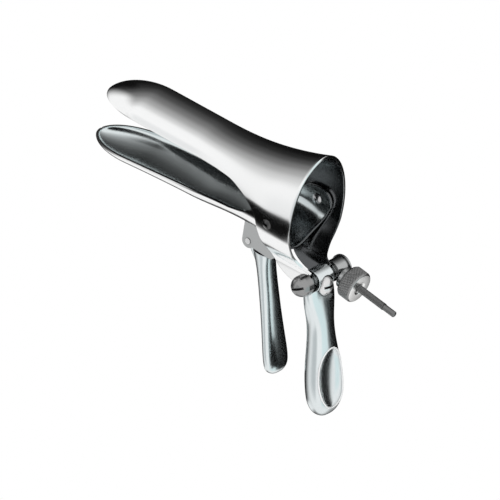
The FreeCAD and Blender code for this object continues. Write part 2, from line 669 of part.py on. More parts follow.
def make_nut():
    """The knurled nut: flutes round the edge of a thick disc."""
    start = rod_length + size("post_flange_radius") + 2 * gap + size("collar_ring_thickness")
    disc = ring("nut_disc", "", size("nut_radius"), 0, size("nut_thickness"), size("nut_chamfer"))
    flute = add("Part::Cylinder", "nut_flute", Radius=ref("flute_radius"))
    bind(flute, Height=ref("nut_thickness") + " + 2")
    bind(flute, Placement__Base__x=ref("nut_radius"), Placement__Base__z="-1")
    cuts = []
    count = int(size("nut_flutes"))
    flutes = doc.addObject("Part::Feature", "nut_flutes_all")
    doc.recompute()
    for step in range(count):
        turn = FreeCAD.Placement(vec(0, 0, 0), FreeCAD.Rotation(vec(0, 0, 1), 360 * step / count))
        copy = flute.Shape.copy()
        copy.Placement = turn.multiply(flute.Placement)
        cuts.append(copy)
    flutes.Shape = Part.makeCompound(cuts)
    nut = boolean("Part::Cut", "nut_final", disc, flutes)
    nut.Placement = rod_frame(start)
    return finish(nut, "knurled_nut")


def export():
    os.makedirs("parts", exist_ok=True)
    doc.recompute()
    for obj in doc.Objects:
        if "Invalid" in obj.State or "Error" in obj.State:
            raise SystemExit("%s did not compute" % obj.Name)
    for obj in parts:
        if obj.Shape.isNull() or not obj.Shape.isValid() or len(obj.Shape.Solids) != 1:
            raise SystemExit("%s is not one valid solid" % obj.Label)
        obj.Shape.exportStep("parts/%s.step" % obj.Label)
        box = obj.Shape.BoundBox
        print("%s %.1f mm3, X %.1f to %.1f, Y %.1f to %.1f, Z %.1f to %.1f" % (
            obj.Label, obj.Shape.Volume, box.XMin, box.XMax, box.YMin, box.YMax, box.ZMin, box.ZMax))


make_upper_blade()
make_lower_blade()
make_rivet("hinge_rivet_far", -90)
make_rivet("hinge_rivet_near", 90)
make_swivel_post()
make_retaining_screw()
make_rear_handle()
make_lock_screw()
make_bracket()
make_lever_pin()
make_front_lever()
make_rod()
make_rod_pin()
ring("thrust_ring", "thrust_collar", size("collar_ring_radius"),
     rod_length + size("post_flange_radius") + gap, size("collar_ring_thickness"), 0.3)
make_nut()
export()
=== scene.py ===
import math

import bmesh
import bpy
from mathutils import Matrix, Vector


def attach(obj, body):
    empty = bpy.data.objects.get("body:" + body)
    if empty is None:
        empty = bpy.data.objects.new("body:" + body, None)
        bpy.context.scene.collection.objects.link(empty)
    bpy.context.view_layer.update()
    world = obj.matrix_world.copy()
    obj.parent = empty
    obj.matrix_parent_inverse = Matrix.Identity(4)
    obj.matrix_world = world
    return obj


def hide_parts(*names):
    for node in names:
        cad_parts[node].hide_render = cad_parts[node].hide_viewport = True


MM = 0.001
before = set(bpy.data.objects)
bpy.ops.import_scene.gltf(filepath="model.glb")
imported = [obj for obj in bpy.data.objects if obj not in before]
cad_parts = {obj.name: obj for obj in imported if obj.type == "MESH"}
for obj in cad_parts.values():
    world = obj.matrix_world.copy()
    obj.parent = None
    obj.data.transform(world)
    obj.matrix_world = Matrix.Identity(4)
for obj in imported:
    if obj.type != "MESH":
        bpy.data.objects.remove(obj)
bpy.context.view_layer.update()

# The part's driving dimensions, in millimetres, as in the CAD model
SHEET = 1.2
UPPER_REACH, LOWER_REACH = 107.8, 110.6
HALF_BLADE, HALF_COLLAR, HALF_EAR = 15.0, 18.9, 17.0
TIP_ROUND = 25.0
UPPER_RIM, UPPER_DEPTH = 11.0, 9.6
LOWER_DROP, LOWER_SLOPE, LOWER_DEPTH, THROAT_DEPTH = 2.6, math.radians(4.5), 6.6, 17.5
FLARE = 48.0
COLLAR_TOP, COLLAR_WIDEST, RING_X, RING_LEAN = 33.2, 3.0, 12.6, math.tan(math.radians(2))
ROOT_X = -33.0
ARM_OUTER = 6.8
BOLT = (18.4, -25.4)
HANDLE_LEAN = math.radians(14.2)
# How far an arm has drawn in, by the share of its drop
ARM_SHARES = [(0.0, 0.0), (0.25, 0.06), (0.40, 0.19), (0.55, 0.39), (0.69, 0.66), (0.82, 0.92),
              (0.92, 1.0), (1.3, 1.0)]


def smooth(t):
    t = min(1.0, max(0.0, t))
    return t * t * (3 - 2 * t)


def mix(a, b, t):
    return a + (b - a) * t


def curve_through(points):
    """A smooth curve through points, by arc length from 0 to 1 (centripetal Catmull-Rom)."""
    pts = [Vector(p) for p in points]
    first = pts[0] * 2 - pts[1]
    last = pts[-1] * 2 - pts[-2]
    ext = [first] + pts + [last]
    dense = []
    for i in range(1, len(ext) - 2):
        p0, p1, p2, p3 = ext[i - 1], ext[i], ext[i + 1], ext[i + 2]
        steps = 24
        for k in range(steps):
            t = k / steps
            a = 2 * p1
            b = (p2 - p0) * t
            c = (2 * p0 - 5 * p1 + 4 * p2 - p3) * t * t
            d = (3 * p1 - p0 - 3 * p2 + p3) * t * t * t
            dense.append((a + b + c + d) * 0.5)
    dense.append(pts[-1])
    lengths = [0.0]
    for a, b in zip(dense, dense[1:]):
        lengths.append(lengths[-1] + (b - a).length)
    total = lengths[-1]

    def at(s):
        want = min(1.0, max(0.0, s)) * total
        lo, hi = 0, len(lengths) - 1
        while hi - lo > 1:
            mid = (lo + hi) // 2
            if lengths[mid] <= want:
                lo = mid
            else:
                hi = mid
        span = lengths[hi] - lengths[lo]
        t = (want - lengths[lo]) / span if span else 0.0
        return dense[lo].lerp(dense[hi], t)

    return at


def table(pairs):
    """A smooth monotone look-up through (x, y) pairs."""
    xs = [p[0] for p in pairs]
    ys = [p[1] for p in pairs]
    slopes = []
    for i in range(len(xs)):
        if i == 0 or i == len(xs) - 1:
            slopes.append(0.0)
        else:
            d0 = (ys[i] - ys[i - 1]) / (xs[i] - xs[i - 1])
            d1 = (ys[i + 1] - ys[i]) / (xs[i + 1] - xs[i])
            slopes.append(0.0 if d0 * d1 <= 0 else 2 * d0 * d1 / (d0 + d1))

    def at(x):
        if x <= xs[0]:
            return ys[0]
        if x >= xs[-1]:
            return ys[-1]
        i = max(k for k in range(len(xs)) if xs[k] <= x)
        i = min(i, len(xs) - 2)
        h = xs[i + 1] - xs[i]
        t = (x - xs[i]) / h
        return ((2 * t ** 3 - 3 * t ** 2 + 1) * ys[i] + (t ** 3 - 2 * t ** 2 + t) * h * slopes[i]
                + (-2 * t ** 3 + 3 * t ** 2) * ys[i + 1] + (t ** 3 - t ** 2) * h * slopes[i + 1])

    return at


arm_narrowing = table(ARM_SHARES)


def widening(x):
    return smooth((x + FLARE) / FLARE)


def tip_share(x, reach):
    """How much of the full width a round tip has at x, and 1 behind the rounding."""
    along = (x + reach) / TIP_ROUND
    if along >= 1:
        return 1.0
    return math.sqrt(max(0.0, 1 - (1 - along) ** 2))


def upper_arch(x):
    """Height of the crown, height of the widest point and half width at x."""
    flare = widening(x)
    share = tip_share(x, UPPER_REACH)
    rise = max(0.0, (x + FLARE) / (FLARE + RING_X - 0.2))
    crown = mix(UPPER_RIM + UPPER_DEPTH * share ** 1.4, COLLAR_TOP, rise ** 1.85)
    return crown, mix(UPPER_RIM, COLLAR_WIDEST, flare), mix(HALF_BLADE * share, HALF_COLLAR, flare)


def upper_point(x, z):
    """Half width of the upper sheet's outer face at x and z."""
    crown, widest, half = upper_arch(x)
    if z >= widest:
        up = min(1.0, (z - widest) / max(1e-6, crown - widest))
        return half * math.sqrt(max(0.0, 1 - up * up))
    down = (widest - z) / (widest - BOLT[1])
    return mix(half, mix(half, ARM_OUTER, widening(x)), arm_narrowing(down))


def lower_rim(x):
    return -LOWER_DROP + x * math.tan(LOWER_SLOPE)


def lower_trough(x):
    """Rim height, bottom height, half width and the power of the section at x."""
    flare = widening(x)
    share = tip_share(x, LOWER_REACH)
    rim = mix(lower_rim(x), 0.0, flare)
    deepening = min(1.0, max(0.0, (x + LOWER_REACH) / (LOWER_REACH + 3))) ** 3.2
    bottom = rim - mix(LOWER_DEPTH * share, THROAT_DEPTH, deepening)
    return rim, bottom, mix(HALF_BLADE * share, HALF_EAR, flare), mix(1.0, 1.35, flare)


def lower_point(x, z):
    rim, bottom, half, power = lower_trough(x)
    if z >= rim:
        return half
    down = min(1.0, (rim - z) / max(1e-6, rim - bottom))
    return half * max(0.0, 1 - down * down) ** (0.5 * power)


def link(name, verts, faces, scale=MM):
    mesh = bpy.data.meshes.new(name)
    mesh.from_pydata([tuple(c * scale for c in v) for v in verts], [], faces)
    mesh.validate()
    obj = bpy.data.objects.new(name, mesh)
    bpy.context.scene.collection.objects.link(obj)
    return obj


def grid_faces(rows, columns):
    corners = ((0, 0), (0, 1), (1, 1), (1, 0))
    return [tuple((r + down) * columns + c + across for down, across in corners)
            for r in range(rows - 1) for c in range(columns - 1)]


def tube_faces(rows, around):
    """The faces between rings of points that follow each other."""
    return [(row * around + k, row * around + (k + 1) % around,
             (row + 1) * around + (k + 1) % around, (row + 1) * around + k)
            for row in range(rows - 1) for k in range(around)]


def shade(obj, angle):
    for poly in obj.data.polygons:
        poly.use_smooth = True
    obj.data.set_sharp_from_angle(angle=math.radians(angle))


def merge(obj, distance=1e-6):
    bm = bmesh.new()
    bm.from_mesh(obj.data)
    bmesh.ops.remove_doubles(bm, verts=bm.verts, dist=distance)
    bmesh.ops.dissolve_degenerate(bm, edges=bm.edges, dist=1e-7)
    bmesh.ops.recalc_face_normals(bm, faces=bm.faces)
    bm.to_mesh(obj.data)
    bm.free()


def apply_modifiers(obj):
    depsgraph = bpy.context.evaluated_depsgraph_get()
    mesh = bpy.data.meshes.new_from_object(obj.evaluated_get(depsgraph))
    old = obj.data
    obj.modifiers.clear()
    obj.data = mesh
    bpy.data.meshes.remove(old)


def thicken(obj, thickness=SHEET):
    """Gives the sheet its thickness inwards, with softly rounded rims.

    Outside, inside and rim have a slot each.
    """
    for name in ("outside", "inside", "rim"):
        obj.data.materials.append(bpy.data.materials.new(name))
    mod = obj.modifiers.new("sheet", "SOLIDIFY")
    mod.thickness = thickness * MM
    mod.offset = -1
    mod.use_even_offset = True
    mod.use_quality_normals = True
    mod.material_offset = 1
    mod.material_offset_rim = 2
    rim = obj.modifiers.new("rim", "BEVEL")
    rim.width = 0.32 * MM
    rim.segments = 3
    rim.limit_method = "ANGLE"
    rim.angle_limit = math.radians(50)
    rim.harden_normals = False
    apply_modifiers(obj)
    shade(obj, 70)


def replace(obj, node, body):
    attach(obj, body)
    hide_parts(node)


# Upper blade and collar: a blade block over the arch, and a collar block that runs down to the arms

FRONT_EDGE = [(-33.0, 11.0), (-24.5, 10.4), (-17.3, 8.0), (-11.4, 4.7), (-7.6, 0.6), (-5.4, -6.0),
              (-4.3, -13.0), (-2.7, -19.8), (0.8, -24.4), (6.8, -27.6), (16.1, -29.38)]
REAR_EDGE = [(12.6 - 11 * RING_LEAN, 11.0), (12.6, 0.0), (12.98, -11.0), (13.4, -15.0), (15.4, -19.0),
             (19.2, -20.87)]
TIP_GAP = 0.02  # the first column's distance from the tip
CROWDING = 1.6  # how much the columns crowd towards the tip
WELD = 2e-5

# The ear of the lower blade: where it starts on the blade, its foot, its rearmost point and its outline
EAR_FRONT, EAR_FOOT = -24.0, 4.0
EAR_BACK = (7.7, -0.8)
EAR_TOP = [(EAR_FRONT, lower_rim(EAR_FRONT)), (-16.5, -2.4), (-10.5, 1.6), (-6.0, 4.7), (-1.0, 5.8),
           (3.0, 5.75), (5.6, 4.3), (7.3, 1.9), EAR_BACK]
EAR_REAR = [(EAR_FOOT, -17.5), (4.4, -12.5), (6.2, -7.0), EAR_BACK]


def ring_x(z):
    return RING_X - z * RING_LEAN


def sheet(name, verts, index, columns, rows_at, up):
    """A sheet from two mirrored grids of points.

    Its highest face (up 1) or its lowest face (up -1) tells which way is outwards.
    """
    faces = []
    for side in (1, -1):
        for c in range(columns):
            for r in range(rows_at(c)):
                quad = [index[(side, c, r)], index[(side, c + 1, r)],
                        index[(side, c + 1, r + 1)], index[(side, c, r + 1)]]
                faces.append(quad if side > 0 else quad[::-1])
    obj = link(name, verts, faces)
    merge(obj, WELD)
    bm = bmesh.new()
    bm.from_mesh(obj.data)
    outermost = max(bm.faces, key=lambda f: up * f.calc_center_median().z)
    if up * outermost.normal.z < 0:
        bmesh.ops.reverse_faces(bm, faces=bm.faces)
    bm.to_mesh(obj.data)
    bm.free()
    thicken(obj)
    return obj


def make_upper_blade():
    arch_rows, wall_rows = 22, 44
    blade_cols, collar_cols = 58, 34
    front, rear = curve_through(FRONT_EDGE), curve_through(REAR_EDGE)
    verts, index = [], {}

    def add(key, p):
        index[key] = len(verts)
        verts.append(p)

    def arch_point(x, share):
        """The point of the arch at x, from its crown (0) to its rim (1)."""
        crown, widest, half = upper_arch(x)
        rim = math.acos(min(1.0, max(0.0, (UPPER_RIM - widest) / max(1e-6, crown - widest))))
        return half * math.sin(rim * share), widest + (crown - widest) * math.cos(rim * share)

    columns = blade_cols + collar_cols
    for side in (1, -1):
        for c in range(columns + 1):
            for r in range(arch_rows + 1):
                if side < 0 and r == 0:
                    index[(side, c, r)] = index[(1, c, r)]
                    continue
                share = r / arch_rows
                if c <= blade_cols:
                    x = mix(-UPPER_REACH + TIP_GAP, ROOT_X, (c / blade_cols) ** CROWDING)
                else:
                    t = (c - blade_cols) / collar_cols
                    x = mix(ROOT_X, RING_X, t)
                    for _ in range(3):
                        x = mix(ROOT_X, ring_x(arch_point(x, share)[1]), t)
                y, z = arch_point(x, share)
                add((side, c, r), (x, side * y, z))
        for c in range(blade_cols, columns + 1):
            s = (c - blade_cols) / collar_cols
            for w in range(1, wall_rows + 1):
                f, b = front(w / wall_rows), rear(w / wall_rows)
                x, z = mix(f[0], b[0], s), mix(f[1], b[1], s)
                add((side, c, arch_rows + w), (x, side * upper_point(x, z), z))
    return sheet("upper_sheet", verts, index, columns,
                 lambda c: arch_rows if c < blade_cols else arch_rows + wall_rows, 1)


def make_lower_blade():
    """The trough and its ears, as one grid from the near rim over the bottom to the far rim."""
    rows, blade_cols, ear_cols = 26, 60, 30
    top_line, rear = curve_through(EAR_TOP), curve_through(EAR_REAR)
    verts, index = [], {}

    def trough_point(c, share):
        x = mix(-LOWER_REACH + TIP_GAP, EAR_FRONT, (c / blade_cols) ** CROWDING)
        rim, bottom, half, power = lower_trough(x)
        end = math.acos(min(1.0, max(-1.0, (rim - lower_rim(x)) / max(1e-6, rim - bottom))))
        angle = end * share
        return x, half * math.sin(angle) ** power, mix(rim, bottom, math.cos(angle))

    def ear_point(c, share):
        s = (c - blade_cols) / ear_cols
        foot_x = mix(EAR_FRONT, EAR_FOOT, s)
        bottom = lower_trough(foot_x)[1]
        head = top_line(s)
        z = mix(bottom, head[1], (1 - math.cos(share * math.pi / 2)) ** mix(1.0, 0.85, s))
        upward = (z - bottom) / max(1e-6, head[1] - bottom)
        x = mix(foot_x, head[0], upward)
        x += (rear(upward)[0] - mix(EAR_FOOT, EAR_BACK[0], upward)) * s ** 2
        return x, lower_point(x, z), z

    for side in (1, -1):
        for c in range(blade_cols + ear_cols + 1):
            for r in range(rows + 1):
                if side < 0 and r == 0:
                    index[(side, c, r)] = index[(1, c, r)]
                    continue
                x, y, z = (trough_point if c <= blade_cols else ear_point)(c, r / rows)
                index[(side, c, r)] = len(verts)
                verts.append((x, side * y, z))
    return sheet("lower_sheet", verts, index, blade_cols + ear_cols, lambda c: rows, -1)


upper = make_upper_blade()
lower = make_lower_blade()
replace(upper, "upper_blade", "frame")
replace(lower, "lower_blade", "lower")


# The rod's own line: from the pivot in its eye, through the post, to the free end

ROD_START = Vector((-10.0, 11.2, -21.0))
ROD_RUN = Vector((28.4, 0.0, -4.4))
ROD_LENGTH, ROD_TAIL = ROD_RUN.length, 36.0
ROD_R, ROD_END_R, ROD_END, ROD_NECK_R, ROD_NECK = 1.65, 1.4, 6.0, 1.15, 4.2
PITCH, THREAD_DEPTH = 0.5, 0.24
NUT_FROM, NUT_THICK, NUT_R = ROD_LENGTH + 5.4 + 2 * 0.12 + 2.6, 6.9, 7.6


def axes_along(direction):
    ahead = direction.normalized()
    side = Vector((0, 1, 0))
    up = side.cross(ahead)
    return side, up, ahead


def lathe(name, profile, start, direction, segments, radius=None):
    """A surface of revolution from (radius, distance, slot) points. radius(r, s, turn) may shape it."""
    side, up, ahead = axes_along(direction)
    verts = []
    for r, s_, _ in profile:
        for k in range(segments):
            turn = 2 * math.pi * k / segments
            rr = radius(r, s_, turn) if radius else r
            verts.append(tuple(start + ahead * s_ + (side * math.cos(turn) + up * math.sin(turn)) * rr))
    obj = link(name, verts, tube_faces(len(profile), segments))
    slots = [slot for _, _, slot in profile[:-1] for _ in range(segments)]
    for poly, slot in zip(obj.data.polygons, slots):
        poly.material_index = slot
    return obj


def zigzag(t):
    """0 at whole numbers and 1 halfway between them."""
    t = t % 1.0
    return 1 - abs(2 * t - 1)


def make_nut():
    """The nut: a diamond knurl round its edge, and two turned faces."""
    knurls, rise, depth, segments = 46, 1.05, 0.34, 368

    def shape(r, s_, turn):
        if r < NUT_R - 0.05:
            return r
        a = zigzag(turn / (2 * math.pi) * knurls + s_ / rise)
        b = zigzag(turn / (2 * math.pi) * knurls - s_ / rise)
        return r - depth * max(a, b) ** 1.5

    profile = [(1.7, 0.4, 1), (2.1, 0.0, 1), (6.6, 0.0, 1), (6.9, 0.05, 0), (7.25, 0.45, 0)]
    rows = 30
    profile += [(NUT_R, 0.8 + (NUT_THICK - 1.6) * k / rows, 0) for k in range(rows + 1)]
    profile += [(7.25, NUT_THICK - 0.45, 0), (6.9, NUT_THICK - 0.05, 1), (6.7, NUT_THICK, 1),
                (3.3, NUT_THICK, 1), (3.1, NUT_THICK - 0.2, 1), (2.3, NUT_THICK - 0.25, 1),
                (1.7, NUT_THICK - 0.9, 1), (1.7, 0.4, 1)]
    start = ROD_START + ROD_RUN.normalized() * NUT_FROM
    obj = lathe("nut_knurled", profile, start, ROD_RUN, segments, shape)
    merge(obj)
    shade(obj, 42)
    return obj


def make_rod():
    """The screw rod with its thread, its plain point and the eye at its other end."""
    end = ROD_LENGTH + ROD_TAIL
    thread_from, thread_to = ROD_NECK + 0.5, end - 0.4 - ROD_END

    def shape(r, s_, turn):
        if not thread_from < s_ < thread_to or r < ROD_R - 0.01:
            return r
        fade = smooth(min(s_ - thread_from, thread_to - s_) / 0.8)
        return r - THREAD_DEPTH * fade * zigzag(s_ / PITCH + turn / (2 * math.pi))

    steps = int((thread_to - thread_from) / (PITCH / 4))
    outline = [(0.001, 1.8), (ROD_NECK_R, 1.8), (ROD_NECK_R, ROD_NECK), (ROD_R - 0.1, ROD_NECK + 0.05),
               (ROD_R, ROD_NECK + 0.2)]
    outline += [(ROD_R, thread_from + (thread_to - thread_from) * k / steps) for k in range(steps + 1)]
    outline += [(ROD_R - 0.25, thread_to + 0.05), (ROD_END_R, thread_to + 0.2), (ROD_END_R, end - 0.45),
                (ROD_END_R - 0.12, end - 0.2), (ROD_END_R - 0.42, end), (0.001, end)]
    profile = [(r, s_, 0) for r, s_ in outline]
    bar = lathe("rod_threaded", profile, ROD_START, ROD_RUN, 24, shape)
    eye_outline = [(1.7, -1.2), (2.8, -1.2), (3.0, -1.0), (3.0, 1.0), (2.8, 1.2), (1.7, 1.2), (1.6, 1.1),
                   (1.6, -1.1), (1.7, -1.2)]
    around = 48
    verts = []
    for r, y in eye_outline:
        for k in range(around):
            turn = 2 * math.pi * k / around
            verts.append((ROD_START.x + r * math.cos(turn), ROD_START.y + y,
                          ROD_START.z + r * math.sin(turn)))
    eye = link("rod_eye", verts, tube_faces(len(eye_outline), around))
    bm = bmesh.new()
    bm.from_mesh(bar.data)
    bm.from_mesh(eye.data)
    bm.to_mesh(bar.data)
    bm.free()
    bpy.data.objects.remove(eye)
    merge(bar)
    shade(bar, 50)
    return bar


# The lip of the thumb recess, in millimetres, with the recess's span along the handle from the bolt
LIP_RADIUS, LIP_SINK, LIP_POINTS = 0.42, 0.12, 140
RECESS_FROM, RECESS_TO = 29.0, 62.5
RECESS_EDGE = math.radians(18)  # the least angle between the faces at the recess's edge


def recess_edge(out):
    """The points of the recess's edge on the rear handle, in their order round it."""
    down = Vector((math.sin(HANDLE_LEAN), 0, -math.cos(HANDLE_LEAN)))
    bolt = Vector((BOLT[0], 0, BOLT[1])) * MM
    bm = bmesh.new()
    bm.from_mesh(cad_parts["rear_handle"].data)
    bmesh.ops.remove_doubles(bm, verts=bm.verts, dist=1e-6)
    ring = {}
    for e in bm.edges:
        if len(e.link_faces) != 2 or e.calc_face_angle(0) < RECESS_EDGE:
            continue
        middle = (e.verts[0].co + e.verts[1].co) / 2 - bolt
        if RECESS_FROM * MM < middle.dot(down) < RECESS_TO * MM and middle.dot(out) > 0.0:
            for a, b in ((e.verts[0], e.verts[1]), (e.verts[1], e.verts[0])):
                ring.setdefault(a.index, (a.co.copy(), []))[1].append(b.index)
    start = next(i for i, (_, near) in ring.items() if len(near) == 2)
    path, before, here = [], None, start
    for _ in ring:
        co, near = ring[here]
        path.append(co)
        onward = [k for k in near if k != before]
        if not onward or onward[0] == start:
            break
        before, here = here, onward[0]
    bm.free()
    return path


def make_bead():
    """The lip round the thumb recess, along the edge where the recess meets the handle, with a painted
    highlight in its lighter finish.
    """
    out = Vector((math.cos(HANDLE_LEAN), 0, math.sin(HANDLE_LEAN)))
    path = recess_edge(out)
    total = [0.0]
    for a, b in zip(path, path[1:] + path[:1]):
        total.append(total[-1] + (b - a).length)
    picked, k = [], 0
    for n in range(LIP_POINTS):
        want = total[-1] * n / LIP_POINTS
        while total[k + 1] < want:
            k += 1
        t = (want - total[k]) / max(1e-9, total[k + 1] - total[k])
        picked.append(path[k].lerp(path[(k + 1) % len(path)], t))
    curve = bpy.data.curves.new("recess_lip", "CURVE")
    curve.dimensions = "3D"
    curve.bevel_depth = LIP_RADIUS * MM
    curve.bevel_resolution = 3
    spline = curve.splines.new("POLY")
    spline.points.add(LIP_POINTS - 1)
    for n, point in enumerate(spline.points):
        near = [picked[(n + o) % LIP_POINTS] for o in (-2, -1, 0, 1, 2)]
        point.co = (*(sum(near, Vector()) / len(near) - out * LIP_SINK * MM), 1)
    spline.use_cyclic_u = True
    obj = bpy.data.objects.new("recess_lip", curve)
    bpy.context.scene.collection.objects.link(obj)
    depsgraph = bpy.context.evaluated_depsgraph_get()
    mesh = bpy.data.meshes.new_from_object(obj.evaluated_get(depsgraph))
    bpy.data.objects.remove(obj)
    obj = bpy.data.objects.new("recess_lip", mesh)
    bpy.context.scene.collection.objects.link(obj)
    shade(obj, 80)
    return obj


nut = make_nut()
rod = make_rod()
bead = make_bead()
replace(nut, "knurled_nut", "nut")
replace(rod, "threaded_rod", "rod")
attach(bead, "frame")


# Materials

def metal(name, colour, roughness, scratch=0.05, grain=900.0, dirt=0.12, edge=0.0, corner_shade=0.0, shade_falloff=1.6):
    """Polished plate: a clear reflection, with faint polishing lines and slight clouding.

    edge is the radius in millimetres to which edges look worn, corner_shade the reach in millimetres of
    the painted shade in corners, slots and joints, and shade_falloff how quickly that painted shade
    deepens.
    """
    mat = bpy.data.materials.new(name)
    mat.use_nodes = True
    nodes, links = mat.node_tree.nodes, mat.node_tree.links
    shader = nodes["Principled BSDF"]
    shader.inputs["Metallic"].default_value = 1.0
    coords = nodes.new("ShaderNodeTexCoord")
    cloud = nodes.new("ShaderNodeTexNoise")
    cloud.inputs["Scale"].default_value = 60.0
    cloud.inputs["Detail"].default_value = 4.0
    links.new(coords.outputs["Object"], cloud.inputs["Vector"])
    tint = nodes.new("ShaderNodeMix")
    tint.data_type = "RGBA"
    tint.inputs["A"].default_value = (*[c * (1 - dirt) for c in colour], 1)
    tint.inputs["B"].default_value = (*colour, 1)
    links.new(cloud.outputs["Fac"], tint.inputs["Factor"])
    links.new(tint.outputs["Result"], shader.inputs["Base Color"])
    # Painted shade: ambient occlusion blends the colour towards near black in corners, slots, knurls and
    # joints.
    if corner_shade:
        corner = nodes.new("ShaderNodeAmbientOcclusion")
        corner.samples = 6
        corner.inputs["Distance"].default_value = corner_shade * MM
        deepen = nodes.new("ShaderNodeMath")
        deepen.operation = "POWER"
        deepen.inputs[1].default_value = shade_falloff
        links.new(corner.outputs["AO"], deepen.inputs[0])
        shaded = nodes.new("ShaderNodeMix")
        shaded.data_type = "RGBA"
        shaded.inputs["A"].default_value = (0.03, 0.03, 0.03, 1)
        links.new(deepen.outputs[0], shaded.inputs["Factor"])
        links.new(tint.outputs["Result"], shaded.inputs["B"])
        links.new(shaded.outputs["Result"], shader.inputs["Base Color"])
    rough = nodes.new("ShaderNodeMapRange")
    rough.inputs["To Min"].default_value = roughness * 0.75
    rough.inputs["To Max"].default_value = roughness * 1.3
    links.new(cloud.outputs["Fac"], rough.inputs["Value"])
    links.new(rough.outputs["Result"], shader.inputs["Roughness"])
    fine = nodes.new("ShaderNodeTexNoise")
    fine.inputs["Scale"].default_value = grain
    fine.inputs["Detail"].default_value = 3.0
    links.new(coords.outputs["Object"], fine.inputs["Vector"])
    bump = nodes.new("ShaderNodeBump")
    bump.inputs["Strength"].default_value = scratch
    bump.inputs["Distance"].default_value = 0.00002
    links.new(fine.outputs["Fac"], bump.inputs["Height"])
    if edge:
        round_edge = nodes.new("ShaderNodeBevel")
        round_edge.samples = 6
        round_edge.inputs["Radius"].default_value = edge * MM
        links.new(round_edge.outputs["Normal"], bump.inputs["Normal"])
    links.new(bump.outputs["Normal"], shader.inputs["Normal"])
    return mat


BLADE = metal("blade_polish", (0.97, 0.975, 0.975), 0.14, dirt=0.04)
# Painted shade: the inside of the upper blade is a darkened copy of the blade's plate.
HOLLOW_SHADE = metal("hollow_painted_shade", (0.12, 0.125, 0.13), 0.20)
TROUGH = metal("trough_polish", (0.80, 0.86, 0.87), 0.17)
RIM = metal("rim_polish", (0.92, 0.93, 0.93), 0.12)
HANDLE = metal("handle_polish", (0.82, 0.87, 0.88), 0.19, edge=0.5, corner_shade=1.2)
HARDWARE = metal("hardware_polish", (0.50, 0.51, 0.51), 0.20, edge=0.15, corner_shade=1.6)
# Painted shade and light: the post and pivot screws get a darkened copy, the lock screw a lighter copy,
# of one screw finish.
SCREW_SHADE = metal("screw_painted_shade", (0.34, 0.34, 0.34), 0.24, edge=0.12, corner_shade=1.6, shade_falloff=6.0)
SCREW_LIT = metal("screw_painted_light", (0.8, 0.8, 0.8), 0.22, edge=0.12, corner_shade=1.4, shade_falloff=4.0)
# Painted shade and light: the near rivet gets a darkened copy and the far rivet a lighter copy of one
# rivet finish.
RIVET_SHADE = metal("rivet_painted_shade", (0.10, 0.10, 0.10), 0.16, edge=0.3, corner_shade=0.8, shade_falloff=3.0)
RIVET_LIT = metal("rivet_painted_light", (0.55, 0.55, 0.56), 0.2, edge=0.3, corner_shade=0.8, shade_falloff=3.0)
# Painted shade: the knurl is a darkened copy of the nut's metal, whose turned faces stay light.
KNURL_SHADE = metal("knurl_painted_shade", (0.34, 0.34, 0.34), 0.26, corner_shade=0.7)
TURNED = metal("turned_face", (0.96, 0.96, 0.95), 0.24, scratch=0.3, grain=2600.0, dirt=0.04, corner_shade=0.8)
THREAD = metal("thread_polish", (0.20, 0.20, 0.20), 0.26, corner_shade=0.5)
# Painted highlight: the recess lip gets a whiter, matte copy of the handle's finish.
LIP_HIGHLIGHT = metal("lip_painted_highlight", (1.0, 1.0, 1.0), 0.7, dirt=0.02)
# Painted highlight: the hinge pin is a much lighter copy of the bracket's steel.
PIN_LIT = metal("pin_painted_highlight", (0.9, 0.9, 0.9), 0.42, corner_shade=0.8)
# Painted shade: a still darker copy for the upper blade's inside towards its tip.
UNDERSIDE_SHADE = metal("underside_painted_shade", (0.035, 0.037, 0.038), 0.25)


def dress(obj, *mats):
    while len(obj.data.materials) < len(mats):
        obj.data.materials.append(None)
    for k, slot in enumerate(obj.material_slots):
        slot.material = mats[min(k, len(mats) - 1)]


# The inside of the upper blade gets a deeper painted shade ahead of this x, in millimetres
DEEPER_SHADE_FROM = -38
NODE_FINISH = {
    "rear_handle": HANDLE, "front_lever": HANDLE, "lever_bracket": HARDWARE, "lever_hinge_pin": PIN_LIT,
    "swivel_post": HARDWARE, "thrust_collar": HARDWARE, "post_retaining_screw": SCREW_SHADE,
    "rod_pivot_screw": SCREW_SHADE, "handle_lock_screw": SCREW_LIT, "hinge_rivet_near": RIVET_SHADE,
    "hinge_rivet_far": RIVET_LIT, "knurled_nut": KNURL_SHADE, "threaded_rod": KNURL_SHADE,
}
# Painted shade on the upper blade's inside, deeper still ahead of the x above.
dress(upper, BLADE, HOLLOW_SHADE, RIM, UNDERSIDE_SHADE)
for face in upper.data.polygons:
    if face.material_index == 1 and face.center.x < DEEPER_SHADE_FROM * MM:
        face.material_index = 3
dress(lower, BLADE, TROUGH, RIM)
dress(nut, KNURL_SHADE, TURNED)
dress(rod, THREAD)
dress(bead, LIP_HIGHLIGHT)
for node, finish in NODE_FINISH.items():
    dress(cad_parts[node], finish)


# Camera, floor and light

RIGHT = Vector((0.7553, 0.6411, 0.1357))
UP = Vector((-0.4236, 0.3205, 0.8472))
BACK = Vector((0.4996, -0.6974, 0.5137))
PICTURE = 500
ORIGIN_PIXEL = (295, 210.5)
PIXELS_PER_MM = 2.2992
DISTANCE = 3.0
SENSOR = 36
FLOOR_HALF, FLOOR_Z = 4, -0.45


